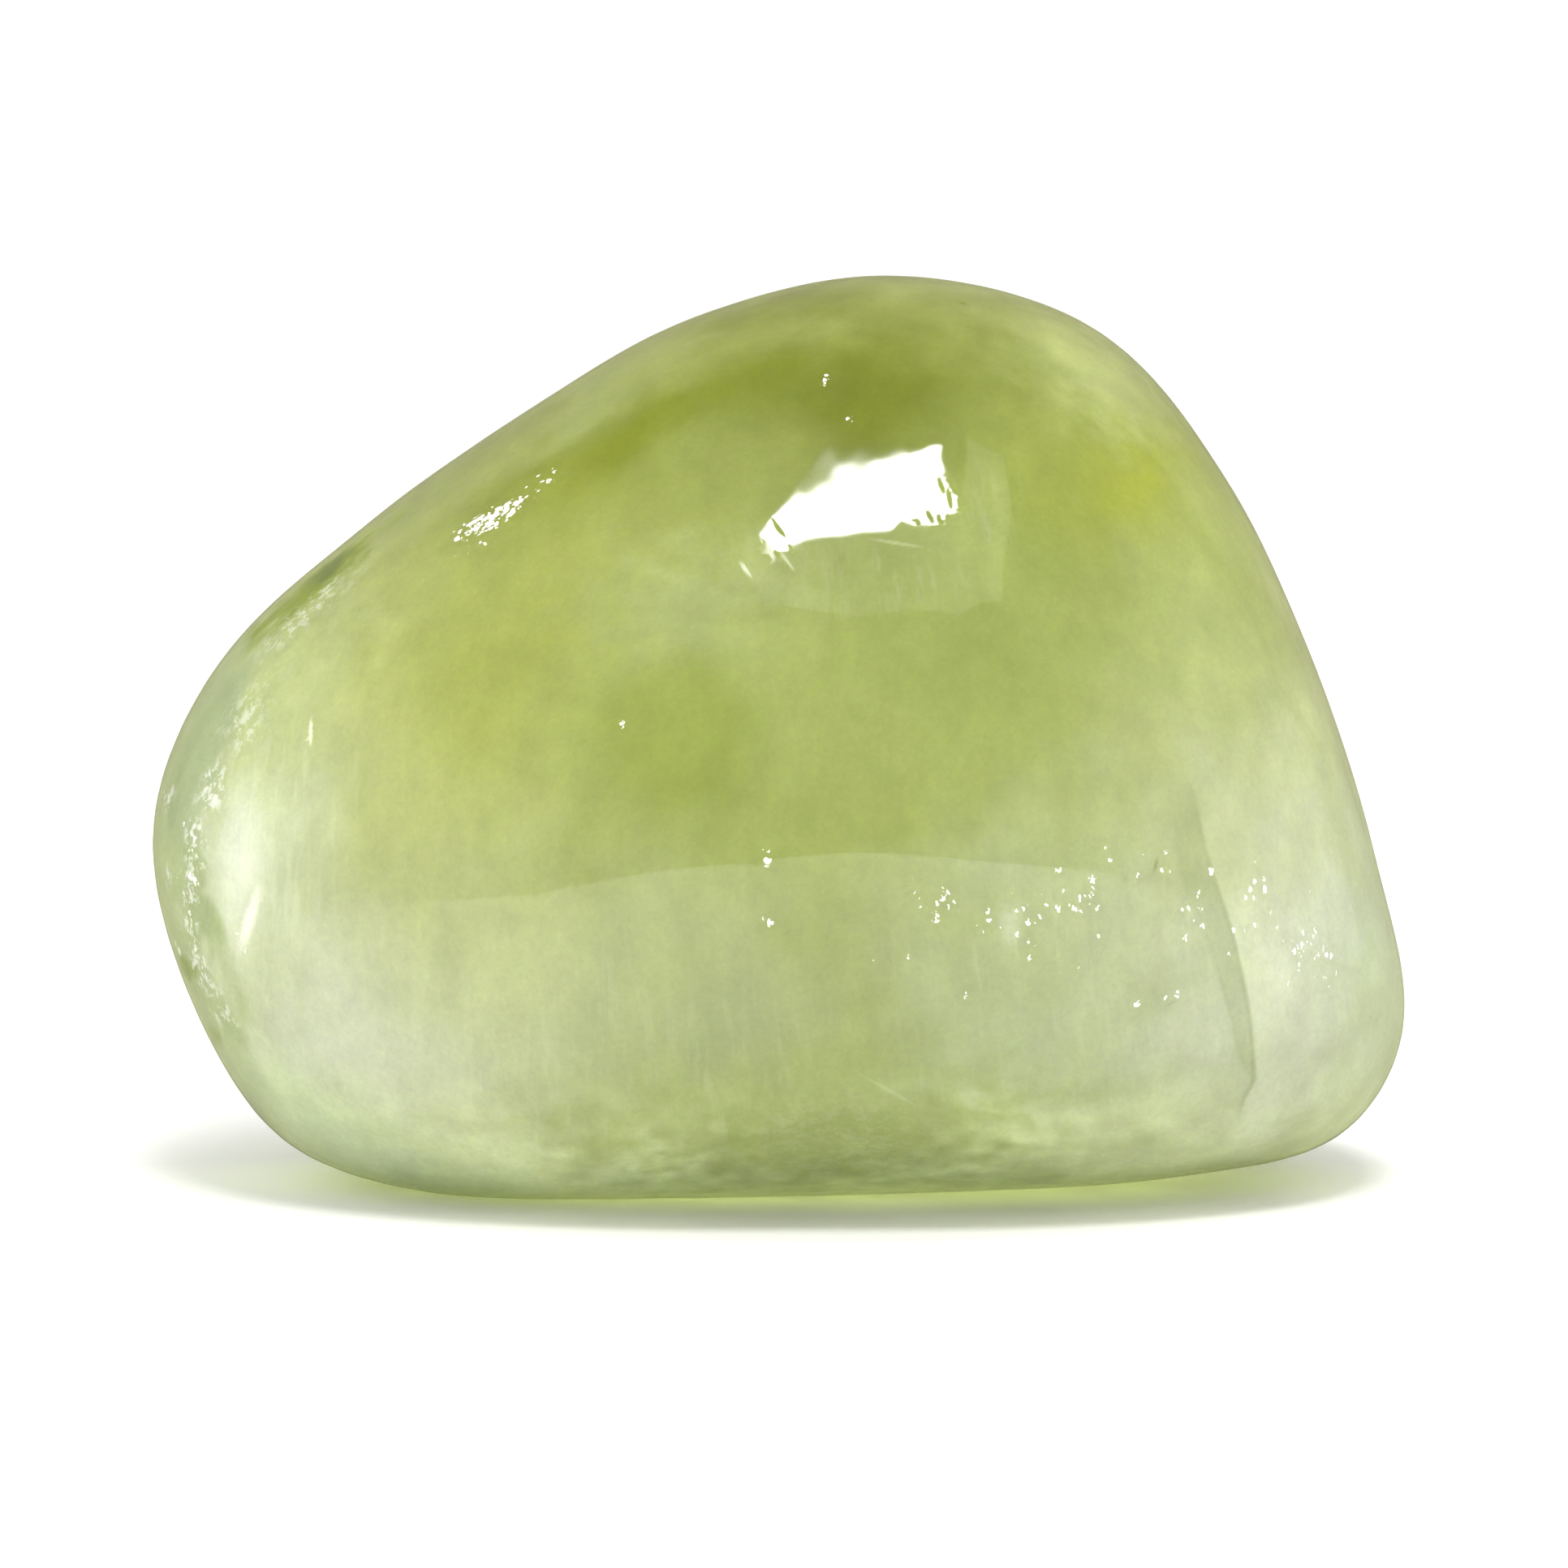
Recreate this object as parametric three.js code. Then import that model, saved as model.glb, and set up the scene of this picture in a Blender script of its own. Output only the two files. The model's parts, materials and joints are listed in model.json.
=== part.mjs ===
// A tumbled apophyllite: one cloudy yellow-green crystal, ground round and polished in a tumbler.
// From the front it is a rounded fin. A long slope climbs from a round nose on the left to a crest right of
// the middle, and a steep flank falls from there to a blunt heel. It lies on a small flat worn on its underside.
//
// Millimetres, +Z up. +X runs along the stone from its nose to its heel, and +Y from its front face to its
// back. The origin is on the surface it lies on, under the middle of its bounding box.

import * as THREE from "three";
import { mergeVertices } from "three/addons/utils/BufferGeometryUtils.js";

// Driving sizes
const LENGTH = 30; // nose to heel
const HEIGHT = 21.5; // resting flat to crest
const DEPTH = 20; // belly of the front face to belly of the back face

// The belly is where both faces bulge most: low in the body and a little towards the heel
const BELLY = { along: 0.05, up: 0.43 };

// The crest lies behind the belly, so the front face leans back as it climbs to it. The lean starts at the
// belly's height, and lower down towards the nose.
const CREST_SETBACK = 0.125 * DEPTH;
const LEAN_STARTS_AT_BELLY = 0.4 * HEIGHT;
const LEAN_STARTS_AT_NOSE = 0.12 * HEIGHT;

// 1 is a plain ellipse from the belly to the outline, and a lower number is fuller
const FULLNESS_TO_OUTLINE = 0.94;
const FULLNESS_TO_BELLY = 0.96;

// How far the corners of the outline are eased, as angles seen from the belly: a little at the rim, and so
// much near the belly that no corner runs in over the faces as a ridge
const RIM_EASING = THREE.MathUtils.degToRad(3.5);
const BELLY_EASING = THREE.MathUtils.degToRad(28);
const RIM_HOLD = 3; // a higher number keeps the rim's own outline to a narrower margin
const OUTLINE_STEPS = 720;

// Triangles: 20 (SPHERE_DETAIL + 1)²
const SPHERE_DETAIL = 17;

// The outline seen from the front, anticlockwise from the heel, as shares of the length from the middle
// and of the height from the resting flat
const OUTLINE = [
  { at: "heel", along: 0.499, up: 0.168 },
  { at: "lower flank", along: 0.476, up: 0.361 },
  { at: "middle flank", along: 0.427, up: 0.574 },
  { at: "upper flank", along: 0.357, up: 0.778 },
  { at: "shoulder", along: 0.254, up: 0.942 },
  { at: "crest", along: 0.09, up: 1.001 },
  { at: "front of the crest", along: -0.066, up: 0.956 },
  { at: "upper slope", along: -0.201, up: 0.852 },
  { at: "lower slope", along: -0.338, up: 0.718 },
  { at: "brow of the nose", along: -0.449, up: 0.575 },
  { at: "nose", along: -0.501, up: 0.4 },
  { at: "under the nose", along: -0.476, up: 0.221 },
  { at: "chin", along: -0.401, up: 0.051 },
  { at: "toe of the base", along: -0.29, up: -0.006 },
  { at: "middle of the base", along: -0.08, up: -0.013 },
  { at: "rise of the base", along: 0.13, up: -0.006 },
  { at: "back of the base", along: 0.33, up: 0.013 },
  { at: "under the heel", along: 0.45, up: 0.054 },
];

// Flats worn on the round body. Azimuth is 0 to the front and 90 to the heel, elevation is above the horizon,
// depth is what the tumbler took off, and edge is how soft the rim of the flat stayed.
const WORN_FLATS = [
  { at: "front slope", azimuth: -6, elevation: 44, depth: 0.7, edge: 0.7 },
  { at: "front face", azimuth: -10, elevation: 3, depth: 0.4, edge: 0.6 },
  { at: "heel flank", azimuth: 56, elevation: 14, depth: 0.5, edge: 1.1 },
  { at: "back slope", azimuth: 168, elevation: 38, depth: 0.6, edge: 0.7 },
  { at: "back face", azimuth: 200, elevation: -6, depth: 0.55, edge: 0.6 },
];

// Low swells that keep the flats from being true planes
const SWELLS = [
  { along: -0.28, up: 0.62, side: -1, height: 0.12, width: 4.5 },
  { along: 0.0, up: 0.42, side: -1, height: 0.1, width: 3.2 },
  { along: 0.2, up: 0.52, side: -1, height: 0.1, width: 3.0 },
  { along: -0.1, up: 0.3, side: 1, height: 0.16, width: 4.5 },
  { along: 0.22, up: 0.6, side: 1, height: 0.14, width: 4.0 },
];

const belly = new THREE.Vector3(BELLY.along * LENGTH, 0, BELLY.up * HEIGHT);

/**
 * The outline's distance from the belly at OUTLINE_STEPS even angles, from a smooth curve through its points.
 * Each distance is a mean of those about it, by weights that fall off as a bell and are nothing at twice the
 * easing.
 */
function outlineRadii(easing) {
  const points = OUTLINE.map(({ along, up }) => new THREE.Vector3(along * LENGTH, 0, up * HEIGHT).sub(belly));
  const curve = new THREE.CatmullRomCurve3(points, true, "centripetal");
  const samples = curve.getSpacedPoints(4 * OUTLINE_STEPS).map((p) => ({
    angle: THREE.MathUtils.euclideanModulo(Math.atan2(p.z, p.x), 2 * Math.PI),
    radius: Math.hypot(p.x, p.z),
  }));
  const reach = Math.round((easing / (2 * Math.PI)) * OUTLINE_STEPS);
  const sums = new Array(OUTLINE_STEPS).fill(0);
  const weights = new Array(OUTLINE_STEPS).fill(0);
  for (const { angle, radius } of samples) {
    const nearest = Math.round((angle / (2 * Math.PI)) * OUTLINE_STEPS);
    for (let step = -2 * reach; step <= 2 * reach; step++) {
      const weight = Math.exp(-2 * (step / reach) ** 2);
      const at = THREE.MathUtils.euclideanModulo(nearest + step, OUTLINE_STEPS);
      sums[at] += weight * radius;
      weights[at] += weight;
    }
  }
  return sums.map((sum, at) => sum / weights[at]);
}

/** A function that gives the eased outline's distance from the belly at any angle. */
function outlineRadius(easing) {
  const radii = outlineRadii(easing);
  return (angle) => {
    const place = THREE.MathUtils.euclideanModulo(angle / (2 * Math.PI), 1) * OUTLINE_STEPS;
    const low = Math.floor(place) % OUTLINE_STEPS;
    const high = (low + 1) % OUTLINE_STEPS;
    return THREE.MathUtils.lerp(radii[low], radii[high], place - Math.floor(place));
  };
}

/** Swells a point of the unit sphere, with its poles on the Y axis, out to the round body. */
function toRoundBody(point, atBelly, atRim) {
  const angle = Math.atan2(point.z, point.x);
  const spread = Math.hypot(point.x, point.z) ** FULLNESS_TO_OUTLINE;
  const bulge = Math.sign(point.y) * Math.abs(point.y) ** FULLNESS_TO_BELLY;
  const radius = spread * THREE.MathUtils.lerp(atBelly(angle), atRim(angle), spread ** RIM_HOLD);
  const x = belly.x + radius * Math.cos(angle);
  const z = belly.z + radius * Math.sin(angle);
  const fromNose = THREE.MathUtils.smoothstep(x, -0.5 * LENGTH, belly.x);
  const leanStarts = THREE.MathUtils.lerp(LEAN_STARTS_AT_NOSE, LEAN_STARTS_AT_BELLY, fromNose);
  const climb = THREE.MathUtils.smoothstep(z, leanStarts, HEIGHT);
  point.set(x, 0.5 * DEPTH * bulge + CREST_SETBACK * climb, z);
}

/** Raises a low round swell on the front (side -1) or the back (side 1). */
function raiseSwell(points, { along, up, side, height, width }) {
  for (const point of points) {
    const away = Math.hypot(point.x - along * LENGTH, point.z - up * HEIGHT) / width;
    const facing = Math.max(0, (side * point.y) / (0.5 * DEPTH));
    point.y += side * height * facing * Math.exp(-away * away);
  }
}

/** Presses what stands out past a plane back to it, with a soft rim. */
function wearFlat(points, { azimuth, elevation, depth, edge }) {
  const turn = THREE.MathUtils.degToRad(azimuth);
  const tilt = THREE.MathUtils.degToRad(elevation);
  const normal = new THREE.Vector3(
    Math.sin(turn) * Math.cos(tilt),
    -Math.cos(turn) * Math.cos(tilt),
    Math.sin(tilt),
  );
  const level = Math.max(...points.map((point) => point.dot(normal))) - depth;
  for (const point of points) {
    const proud = point.dot(normal) - level;
    if (proud > 0) point.addScaledVector(normal, edge * (1 - Math.exp(-proud / edge)) - proud);
  }
}

/** The stone's surface as an indexed geometry. */
function stoneGeometry() {
  const sphere = new THREE.IcosahedronGeometry(1, SPHERE_DETAIL);
  sphere.deleteAttribute("normal");
  sphere.deleteAttribute("uv");
  const geometry = mergeVertices(sphere);
  const position = geometry.getAttribute("position");
  const points = [];
  for (let i = 0; i < position.count; i++) points.push(new THREE.Vector3().fromBufferAttribute(position, i));

  const atBelly = outlineRadius(BELLY_EASING);
  const atRim = outlineRadius(RIM_EASING);
  points.forEach((point) => toRoundBody(point, atBelly, atRim));
  SWELLS.forEach((swell) => raiseSwell(points, swell));
  WORN_FLATS.forEach((flat) => wearFlat(points, flat));
  points.forEach((point) => point.setZ(Math.max(point.z, 0))); // the resting flat

  points.forEach((point, i) => position.setXYZ(i, point.x, point.y, point.z));
  geometry.computeBoundingBox();
  const middle = geometry.boundingBox.getCenter(new THREE.Vector3());
  geometry.translate(-middle.x, -middle.y, -geometry.boundingBox.min.z);
  geometry.computeVertexNormals();
  return geometry;
}

const crystal = new THREE.MeshStandardMaterial({ color: 0xaeb96b, roughness: 0.12, metalness: 0 });

const stone = new THREE.Mesh(stoneGeometry(), crystal);
stone.name = "polished_stone";

const apophyllite = new THREE.Group();
apophyllite.add(stone);

export default apophyllite;
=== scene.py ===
"""Dresses the solid of a tumbled apophyllite as a cloudy, polished stone on a pale studio sweep.

Lengths are millimetres wherever a name ends in _mm or a docstring says so, and MM turns them to metres.
+X runs along the stone from its nose to its heel, +Y from its front face to its back, and +Z up.
"""

import json
import logging
import math
from dataclasses import dataclass, field
from enum import Enum

import bmesh
import bpy
import numpy as np
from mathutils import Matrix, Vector, noise

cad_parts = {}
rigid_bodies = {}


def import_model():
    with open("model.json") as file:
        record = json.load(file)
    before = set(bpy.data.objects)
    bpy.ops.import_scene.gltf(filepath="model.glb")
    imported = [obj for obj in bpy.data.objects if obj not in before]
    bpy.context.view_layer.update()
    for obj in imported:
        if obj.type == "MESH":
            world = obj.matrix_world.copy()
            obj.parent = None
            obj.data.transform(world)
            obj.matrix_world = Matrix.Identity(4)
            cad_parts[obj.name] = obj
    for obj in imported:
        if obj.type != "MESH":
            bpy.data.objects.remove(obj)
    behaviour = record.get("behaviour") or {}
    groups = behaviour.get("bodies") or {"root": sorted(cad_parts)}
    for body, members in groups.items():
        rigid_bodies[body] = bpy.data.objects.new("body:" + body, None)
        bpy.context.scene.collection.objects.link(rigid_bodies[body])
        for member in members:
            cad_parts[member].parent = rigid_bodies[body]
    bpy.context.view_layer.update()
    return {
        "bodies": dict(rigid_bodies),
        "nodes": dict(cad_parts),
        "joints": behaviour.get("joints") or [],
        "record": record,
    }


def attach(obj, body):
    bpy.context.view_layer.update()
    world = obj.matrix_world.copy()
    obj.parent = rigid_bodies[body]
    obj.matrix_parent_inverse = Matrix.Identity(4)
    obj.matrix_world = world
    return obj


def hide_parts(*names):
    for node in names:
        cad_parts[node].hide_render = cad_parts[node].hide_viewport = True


log = logging.getLogger("stone")

MM = 0.001

Point = tuple[float, float, float]
Pair = tuple[float, float]
Tree = bpy.types.NodeTree
Socket = bpy.types.NodeSocket


def linear(code: str) -> tuple[float, float, float, float]:
    """Turns an sRGB hex colour to the linear one that Blender's sockets take.

    Args:
        code: Six hex digits, as in a picture editor.

    Returns:
        Linear red, green and blue, and an alpha of 1.
    """
    shares = [int(code[i : i + 2], 16) / 255 for i in (0, 2, 4)]
    red, green, blue = (s / 12.92 if s <= 0.04045 else ((s + 0.055) / 1.055) ** 2.4 for s in shares)
    return red, green, blue, 1.0


def add(
    tree: Tree, kind: str, inputs: dict | None = None, **settings: object
) -> bpy.types.Node:
    """Adds a node to a tree, with its settings and what goes into it.

    Args:
        tree: The tree of a material or of the world.
        kind: The node's Blender type.
        inputs: Socket name or number to a value, or to the output that is linked there.
        settings: The node's own properties.

    Returns:
        The new node.
    """
    node = tree.nodes.new(kind)
    for name, value in settings.items():
        setattr(node, name, value)
    for socket, value in (inputs or {}).items():
        if isinstance(value, Socket):
            tree.links.new(value, node.inputs[socket])
        else:
            node.inputs[socket].default_value = value
    return node


def new_object(name: str, mesh: bpy.types.Mesh) -> bpy.types.Object:
    """Puts a mesh in the scene as an object at the origin."""
    made = bpy.data.objects.new(name, mesh)
    bpy.context.scene.collection.objects.link(made)
    return made


class Growth(Enum):
    """How the edge of something inside the crystal breaks up."""

    CLEAN = "an even fade"
    BILLOW = "soft, ragged billows that drift off their place"
    VEIL = "a thin, torn veil"


class Mark(Enum):
    """What the finest marks are, each with its own channel of the mesh's marks."""

    FIBRES = 0
    # Painted glints, laid in white
    SPARKLES = 1
    FLECKS = 2
    SCRATCHES = 3


@dataclass(frozen=True)
class Tear:
    """A rough noise that frays an edge.

    Attributes:
        amount: How much it adds to nearness, at most about.
        waves_per_mm: How fine its largest waves are.
        fall: How quickly its finer waves weaken.
        step: How much finer each octave is than the last.
        octaves: How many of them there are.
    """

    amount: float
    waves_per_mm: float
    fall: float
    step: float
    octaves: int

    def at(self, points: list[Vector]) -> np.ndarray:
        """What it adds to nearness at places in millimetres."""
        kind = (self.fall, self.step, self.octaves)
        return self.amount * np.array([noise.fractal(point * self.waves_per_mm, *kind) for point in points])


TEARS = {Growth.BILLOW: Tear(0.16, 0.6, 0.9, 2.1, 5), Growth.VEIL: Tear(0.32, 1.7, 0.8, 2.2, 6)}

# How growth drifts: waves per millimetre, and how far they carry it in millimetres
DRIFTS = ((0.3, 1.1), (1.3, 0.22))
DRIFT_SEED = 95

# How far past a region's edge its torn bits reach, as a share of its radius
FRAY = 0.3


@dataclass(frozen=True)
class Stuff:
    """The places of the surface's points, in millimetres, with the crystal's unevenness there."""

    places: np.ndarray
    drift: np.ndarray
    torn: dict[Growth, np.ndarray]

    @classmethod
    def at(cls, places: np.ndarray) -> "Stuff":
        """Works out the unevenness at places.

        Args:
            places: One row of x, y and z in millimetres for each point.

        Returns:
            The places with their drift, in millimetres, and for each growth what it adds to nearness.
        """
        # Without a seed the drift would differ from run to run
        noise.seed_set(DRIFT_SEED)
        points = [Vector(place) for place in places]
        drift = [
            sum((noise.noise_vector(point * waves) * reach for waves, reach in DRIFTS), Vector())
            for point in points
        ]
        torn = {growth: tear.at(points) for growth, tear in TEARS.items()}
        torn[Growth.CLEAN] = np.zeros(len(points))
        return cls(places=places, drift=np.array([tuple(vector) for vector in drift]), torn=torn)


def smooth_steps(values: np.ndarray, low: float, high: float) -> np.ndarray:
    """Climbs smoothly from 0 at low to 1 at high, for many values at once."""
    share = np.clip((values - low) / (high - low), 0.0, 1.0)
    return share * share * (3.0 - 2.0 * share)


def band(values: np.ndarray, rise: Pair, fall: Pair) -> np.ndarray:
    """Climbs smoothly from 0 to 1 over the rise, and back to 0 over the fall."""
    return smooth_steps(values, *rise) * (1.0 - smooth_steps(values, *fall))


@dataclass(frozen=True)
class Region:
    """A part of the crystal: a round body, stretched and turned.

    Attributes:
        centre_mm: Its middle.
        half_mm: Its half sizes along its own X, Y and Z.
        lean_deg: Its turn about Y, clockwise as seen from the front.
        edge: The share of its radius over which it fades.
        growth: How its edge breaks up.
        strength: How far it covers what is under it, from 0 to 1.
    """

    centre_mm: Point
    half_mm: Point
    lean_deg: float = 0.0
    edge: float = 0.7
    growth: Growth = Growth.BILLOW
    strength: float = 1.0

    def nearness(self, places: np.ndarray) -> np.ndarray:
        """How near the middle each place is: 1 there, 0 at the edge and less beyond."""
        x, y, z = (places - np.array(self.centre_mm)).T
        turn = math.radians(self.lean_deg)
        across, up = x * math.cos(turn) - z * math.sin(turn), x * math.sin(turn) + z * math.cos(turn)
        return 1.0 - np.linalg.norm(np.stack((across, y, up), axis=1) / np.array(self.half_mm), axis=1)

    def cover(self, stuff: Stuff) -> np.ndarray:
        """How far it covers each place, from 0 to its strength."""
        places = stuff.places
        if self.growth is Growth.BILLOW:
            places = places + stuff.drift
        near = self.nearness(places)
        torn = stuff.torn[self.growth] * smooth_steps(near, -FRAY, 0.0)
        return self.strength * smooth_steps(near + torn, 0.0, self.edge)


@dataclass(frozen=True)
class Cloud(Region):
    """A region with its own colour and clearness.

    Attributes:
        tint: Its colour, sRGB hex.
        clear: How much light goes straight through, from 0, milk, to 1, glass.
    """

    edge: float = 1.0
    tint: str = "FFFFFF"
    clear: float = 0.5


@dataclass(frozen=True)
class Rim(Cloud):
    """A cloud that wraps something else.

    Attributes:
        core: What it wraps and stays out of.
    """

    core: Region | None = None

    def cover(self, stuff: Stuff) -> np.ndarray:
        """How far it covers each place, from 0 to its strength."""
        return super().cover(stuff) * (1.0 - self.core.cover(stuff))


@dataclass(frozen=True)
class Needle(Cloud):
    """A thin inclusion, flaw or scratch, exactly placed."""

    growth: Growth = Growth.CLEAN


@dataclass(frozen=True)
class Patch(Region):
    """A region that has marks of one kind."""

    mark: Mark = Mark.FIBRES


@dataclass(frozen=True)
class Fibres(Patch):
    """A patch of fibres."""


@dataclass(frozen=True)
class Sparkles(Patch):
    """A patch of sparkles, which are painted glints."""

    growth: Growth = Growth.VEIL
    mark: Mark = Mark.SPARKLES


@dataclass(frozen=True)
class Flecks(Patch):
    """A patch of flecks."""

    growth: Growth = Growth.VEIL
    mark: Mark = Mark.FLECKS


@dataclass(frozen=True)
class Scratch(Patch):
    """A short, thin scratch that cuts the polish."""

    edge: float = 0.5
    growth: Growth = Growth.CLEAN
    mark: Mark = Mark.SCRATCHES


@dataclass(frozen=True)
class Stripe:
    """What shows along a sheet of the crack.

    Attributes:
        rise_mm: From where to where it grows, past the sheet towards the heel.
        fall_mm: From where to where it fades again.
        strength: How far it covers what is under it, from 0 to 1.
        tint: Its colour, sRGB hex.
        clear: How much light goes straight through, from 0, milk, to 1, glass.
    """

    rise_mm: Pair
    fall_mm: Pair
    strength: float
    tint: str
    clear: float = 0.5


@dataclass(frozen=True)
class HealedCrack:
    """A crack that grew shut again: a thin curved sheet that runs down through the heel to the front face.

    Its line on the front is given by points from its foot up, as x at a height z. A second sheet runs
    beside it on the belly's side and joins it low down. The sliver between the two is a little greyer.
    """

    line_mm: tuple[Pair, ...] = (
        (10.8, 2.2),
        (10.95, 2.95),
        (11.2, 3.4),
        (11.07, 4.8),
        (10.96, 5.55),
        (10.82, 6.2),
        (10.6, 7.05),
        (10.27, 8.05),
        (9.96, 9.05),
        (9.68, 10.3),
        (9.3, 11.2),
        (8.9, 12.2),
    )
    sliver_widths_mm: tuple[Pair, ...] = (
        (0.0, 3.2),
        (0.35, 4.2),
        (0.5, 5.5),
        (0.6, 7.0),
        (0.7, 8.5),
        (0.5, 10.5),
    )
    foot_fade_mm: float = 0.9
    top_fade_mm: Pair = (-6.0, 1.0)
    back_fade_mm: Pair = (-3.0, -1.0)
    ledge_mm: float = 0.008
    ledge_rise_mm: Pair = (-0.06, 0.06)
    ledge_fall_mm: Pair = (0.1, 2.4)
    milk: Stripe = Stripe((0.0, 0.05), (0.15, 1.5), 0.28, "E2E6C6", 0.3)
    sliver: Stripe = Stripe((-0.25, 0.15), (-0.05, 0.03), 0.32, "A3AF78", 0.45)
    shade: Stripe = Stripe((-0.16, -0.04), (-0.04, 0.02), 0.2, "97A56C")
    second_shade: Stripe = Stripe((-0.12, -0.02), (-0.02, 0.05), 0.16, "97A56C")

    def away(self, places: np.ndarray) -> np.ndarray:
        """How far each place is past the sheet towards the heel, in millimetres."""
        return places[:, 0] - self._at_height(self.line_mm, places)

    def along(self, places: np.ndarray) -> np.ndarray:
        """1 where the sheet meets the front face, falling to 0 past its ends and on the back."""
        foot, top = self.line_mm[0][1], self.line_mm[-1][1]
        low, high = self.top_fade_mm
        ends = band(places[:, 2], (foot, foot + self.foot_fade_mm), (top + low, top + high))
        return ends * (1.0 - smooth_steps(places[:, 1], *self.back_fade_mm))

    def stripes(self, places: np.ndarray) -> list[tuple[Stripe, np.ndarray]]:
        """What shows along the sheets, in the order that it is laid in.

        Args:
            places: One row of x, y and z in millimetres for each point.

        Returns:
            Each stripe with how far it covers each place.
        """
        away, along = self.away(places), self.along(places)
        second = away + self._at_height(self.sliver_widths_mm, places)
        past_second = smooth_steps(second, *self.sliver.rise_mm)
        past_first = smooth_steps(away, *self.sliver.fall_mm)
        shown = (
            (self.milk, band(away, self.milk.rise_mm, self.milk.fall_mm)),
            (self.sliver, past_second * (1.0 - past_first)),
            (self.shade, band(away, self.shade.rise_mm, self.shade.fall_mm)),
            (self.second_shade, band(second, self.second_shade.rise_mm, self.second_shade.fall_mm)),
        )
        return [(stripe, stripe.strength * along * cover) for stripe, cover in shown]

    def ledge(self, places: np.ndarray) -> np.ndarray:
        """How far polishing wore the heel's side below the belly's, in millimetres."""
        step = band(self.away(places), self.ledge_rise_mm, self.ledge_fall_mm)
        return self.ledge_mm * self.along(places) * step

    @staticmethod
    def _at_height(line: tuple[Pair, ...], places: np.ndarray) -> np.ndarray:
        """A line's value at each place's height."""
        values, heights = zip(*line)
        return np.interp(places[:, 2], heights, values)


@dataclass(frozen=True)
class Nick:
    """A small shell-shaped chip or a pit: a hollow pressed along the surface's own normal."""

    centre_mm: Point
    radius_mm: float
    depth_mm: float
    tint: str = "7F8A4A"
    strength: float = 0.9
    clear: float = 0.2

    def hollow(self, places: np.ndarray) -> np.ndarray:
        """How deep the hollow is at each place, as a share of its full depth."""
        away = np.linalg.norm(places - np.array(self.centre_mm), axis=1) / self.radius_mm
        return np.maximum(1.0 - away * away, 0.0)


@dataclass(frozen=True)
class Ripple:
    """An unevenness that tumbling leaves: its wavelength and its height, in millimetres."""

    wave_mm: float
    height_mm: float
    seed: float

    def height(self, place: Vector) -> float:
        """The unevenness at a place in millimetres."""
        return self.height_mm * noise.noise(place / self.wave_mm + Vector((self.seed, 0.0, -self.seed)))


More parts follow.
